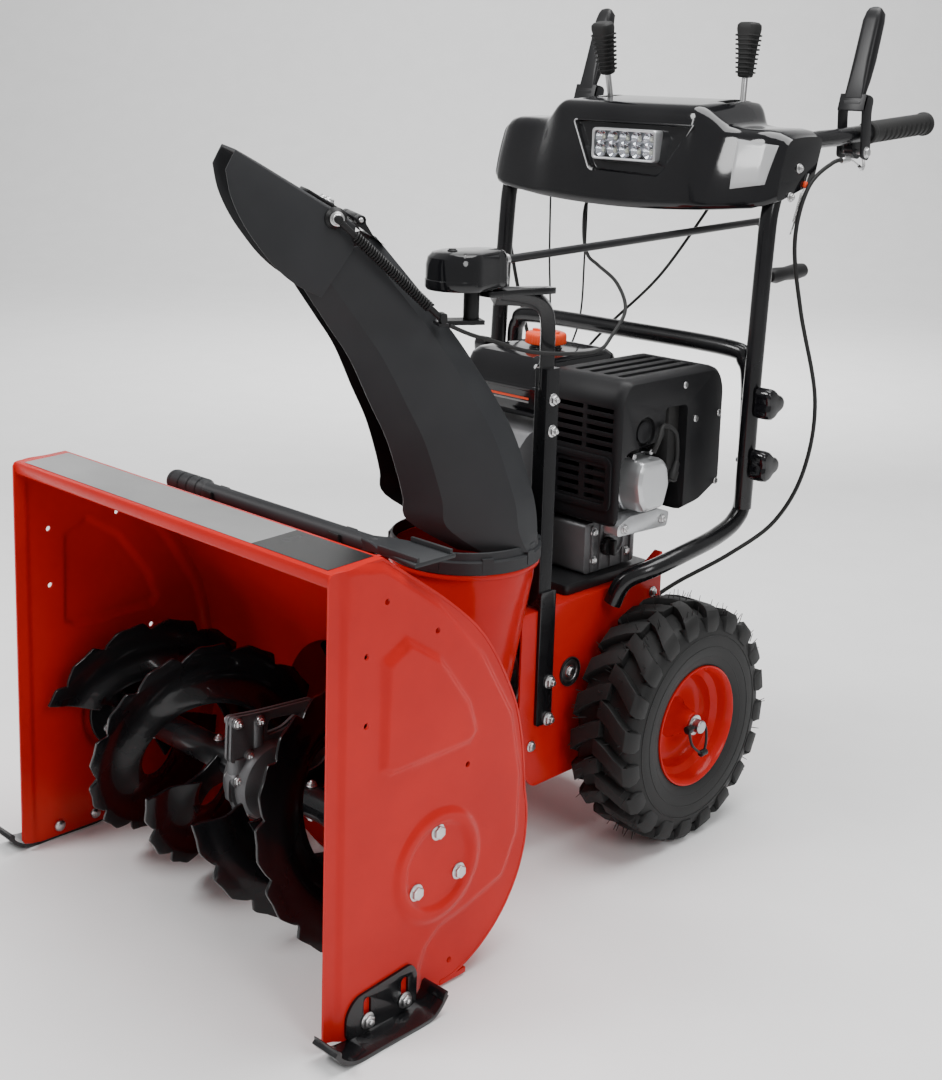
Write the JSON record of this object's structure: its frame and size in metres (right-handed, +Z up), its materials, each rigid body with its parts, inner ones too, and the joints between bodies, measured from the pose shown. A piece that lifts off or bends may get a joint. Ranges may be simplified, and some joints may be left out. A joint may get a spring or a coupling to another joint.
{
  "type": "snow blower",
  "caption": "Walk-behind two-stage snow blower with serrated augers, an impeller, a turning discharge chute with a tilting deflector, an engine, drive wheels and a handle console.",
  "frame": {"origin": "on the ground under the middle of the machine's length and width", "axes": "+X is the left hand of the operator standing behind the machine, +Y runs from the auger mouth to the handle grips, +Z is up"},
  "size_m": [0.69, 1.2673, 1.1465],
  "materials": {
    "red_paint": "gloss orange-red powder coat",
    "black_paint": "gloss black paint",
    "steel": "bare and zinc-plated steel",
    "cast_iron": "grey cast gearcase",
    "engine_alloy": "cast aluminium and heat-resistant silver",
    "matte_black_plastic": "grained charcoal plastic",
    "gloss_black_plastic": "smooth black plastic",
    "orange_plastic": "smooth orange-red plastic",
    "lamp_lens": "clear lamp lens over a reflector",
    "tyre": "black snow tyre with deep lugs",
    "rubber": "soft black rubber"
  },
  "bodies": {
    "frame": {"housing_wrap": "red_paint", "side_panel_left": "red_paint", "side_panel_right": "red_paint", "auger_bearing_left": "steel", "auger_bearing_right": "steel", "impeller_drum": "red_paint", "gearcase": "cast_iron", "deflector_cable": "matte_black_plastic", "gear_head": "gloss_black_plastic", "chute_post": "black_paint", "tractor_body": "red_paint", "engine_block": "engine_alloy", "auger_belt": "rubber", "belt_cover": "matte_black_plastic", "engine_cover": "matte_black_plastic", "muffler": "engine_alloy", "valve_cover": "engine_alloy", "fuel_tank": "gloss_black_plastic", "recoil_housing": "matte_black_plastic", "spark_plug_lead": "rubber", "lower_handle": "black_paint", "handle_tube_left": "black_paint", "handle_tube_right": "black_paint", "grip_left": "rubber", "grip_right": "rubber", "dash_panel": "gloss_black_plastic", "headlight": "lamp_lens", "drive_cable_left": "matte_black_plastic", "drive_cable_right": "matte_black_plastic"},
    "augers": {"auger_shaft": "steel", "auger_left": "black_paint", "auger_right": "black_paint"},
    "impeller_rotor": {"impeller": "black_paint", "impeller_shaft": "steel"},
    "crankshaft": {"engine_pulley": "steel"},
    "wheels": {"axle": "steel", "rim_left": "red_paint", "rim_right": "red_paint", "tyre_left": "tyre", "tyre_right": "tyre"},
    "friction_wheel": {"friction_wheel": "steel"},
    "friction_disc": {"friction_disc": "steel"},
    "chute": {"chute": "matte_black_plastic", "deflector_spring": "matte_black_plastic"},
    "deflector": {"deflector": "matte_black_plastic"},
    "crank": {"crank_rod": "black_paint"},
    "deflector_lever": {"deflector_lever": "rubber"},
    "speed_lever": {"speed_lever": "rubber"},
    "clutch_lever_left": {"clutch_lever_left": "matte_black_plastic"},
    "clutch_lever_right": {"clutch_lever_right": "matte_black_plastic"},
    "upper_knob_left": {"upper_knob_left": "matte_black_plastic"},
    "upper_knob_right": {"upper_knob_right": "matte_black_plastic"},
    "lower_knob_left": {"lower_knob_left": "matte_black_plastic"},
    "lower_knob_right": {"lower_knob_right": "matte_black_plastic"},
    "fuel_cap": {"fuel_cap": "orange_plastic"},
    "choke_knob": {"choke_knob": "matte_black_plastic"},
    "skid_shoe_left": {"skid_shoe_left": "black_paint"},
    "skid_shoe_right": {"skid_shoe_right": "black_paint"},
    "cleanout_tool": {"cleanout_tool": "matte_black_plastic"},
    "recoil_handle": {"recoil_handle": "matte_black_plastic"}
  },
  "joints": [
    {"name": "auger_spin", "type": "hinge", "parent": "frame", "child": "augers", "pos_m": [0, -0.454, 0.161], "axis": [1, 0, 0], "continuous": true},
    {"name": "impeller_spin", "type": "hinge", "parent": "frame", "child": "impeller_rotor", "pos_m": [0, -0.227, 0.161], "axis": [0, 1, 0], "continuous": true},
    {"name": "crankshaft_spin", "type": "hinge", "parent": "frame", "child": "crankshaft", "pos_m": [-0.025, -0.069, 0.453], "axis": [0, 1, 0], "continuous": true},
    {"name": "axle_spin", "type": "hinge", "parent": "frame", "child": "wheels", "pos_m": [0, 0.075, 0.165], "axis": [1, 0, 0], "continuous": true},
    {"name": "friction_wheel_spin", "type": "hinge", "parent": "frame", "child": "friction_wheel", "pos_m": [0, 0.01, 0.2], "axis": [1, 0, 0], "continuous": true},
    {"name": "friction_disc_spin", "type": "hinge", "parent": "frame", "child": "friction_disc", "pos_m": [0, -0.057, 0.2], "axis": [0, 1, 0], "continuous": true},
    {"name": "chute_turn", "type": "hinge", "parent": "frame", "child": "chute", "pos_m": [0.12, -0.229, 0.45], "axis": [0, 0, 1], "range_deg": [-65, 125], "deforming": ["deflector_cable"]},
    {"name": "deflector_tilt", "type": "hinge", "parent": "chute", "child": "deflector", "pos_m": [0.045, -0.3589, 0.862], "axis": [0.866, -0.5, 0], "range_deg": [-5, 50], "deforming": ["deflector_spring"]},
    {"name": "crank_turn", "type": "hinge", "parent": "frame", "child": "crank", "pos_m": [0.12, -0.207, 0.805], "axis": [0, 0.9992, 0.0406], "range_deg": [-520, 1000]},
    {"name": "deflector_lever_turn", "type": "hinge", "parent": "frame", "child": "deflector_lever", "pos_m": [-0.1, 0.324, 0.897], "axis": [-1, 0, 0], "range_deg": [-3.6, 36]},
    {"name": "speed_lever_turn", "type": "hinge", "parent": "frame", "child": "speed_lever", "pos_m": [0.12, 0.324, 0.897], "axis": [-1, 0, 0], "range_deg": [-22, 22]},
    {"name": "clutch_lever_left_squeeze", "type": "hinge", "parent": "frame", "child": "clutch_lever_left", "pos_m": [0.25, 0.428, 0.94], "axis": [-1, 0, 0], "range_deg": [0, 52], "stiffness_Nm_per_rad": 1.5, "springref_deg": -20.05},
    {"name": "clutch_lever_right_squeeze", "type": "hinge", "parent": "frame", "child": "clutch_lever_right", "pos_m": [-0.25, 0.428, 0.94], "axis": [-1, 0, 0], "range_deg": [0, 52], "stiffness_Nm_per_rad": 1.5, "springref_deg": -20.05},
    {"name": "upper_knob_left_turn", "type": "hinge", "parent": "frame", "child": "upper_knob_left", "pos_m": [0.26, 0.217, 0.597], "axis": [1, 0, 0], "continuous": true},
    {"name": "upper_knob_right_turn", "type": "hinge", "parent": "frame", "child": "upper_knob_right", "pos_m": [-0.26, 0.217, 0.597], "axis": [1, 0, 0], "continuous": true},
    {"name": "lower_knob_left_turn", "type": "hinge", "parent": "frame", "child": "lower_knob_left", "pos_m": [0.26, 0.214, 0.509], "axis": [1, 0, 0], "continuous": true},
    {"name": "lower_knob_right_turn", "type": "hinge", "parent": "frame", "child": "lower_knob_right", "pos_m": [-0.26, 0.214, 0.509], "axis": [1, 0, 0], "continuous": true},
    {"name": "fuel_cap_turn", "type": "hinge", "parent": "frame", "child": "fuel_cap", "pos_m": [-0.02, 0.075, 0.66], "axis": [0, 0, 1], "range_deg": [0, 90]},
    {"name": "choke_knob_turn", "type": "hinge", "parent": "frame", "child": "choke_knob", "pos_m": [0.145, 0.033, 0.398], "axis": [1, 0, 0], "range_deg": [0, 90]},
    {"name": "skid_shoe_left_slide", "type": "slide", "parent": "frame", "child": "skid_shoe_left", "axis": [0, 0, 1], "range_m": [-0.022, 0]},
    {"name": "skid_shoe_right_slide", "type": "slide", "parent": "frame", "child": "skid_shoe_right", "axis": [0, 0, 1], "range_m": [-0.022, 0]},
    {"name": "cleanout_tool_lift", "type": "slide", "parent": "frame", "child": "cleanout_tool", "axis": [0, 0, 1], "range_m": [0, 0.15]},
    {"name": "recoil_pull", "type": "slide", "parent": "frame", "child": "recoil_handle", "axis": [0, 1, 0], "range_m": [0, 0.75], "stiffness_N_per_m": 15, "springref_m": -0.4}
  ],
  "couplings": [
    {"joint": "impeller_spin", "follows": "auger_spin", "ratio": 10},
    {"joint": "friction_wheel_spin", "follows": "axle_spin", "ratio": -2.4528},
    {"joint": "crank_turn", "follows": "chute_turn", "ratio": 8},
    {"joint": "deflector_lever_turn", "follows": "deflector_tilt", "ratio": 0.72}
  ]
}
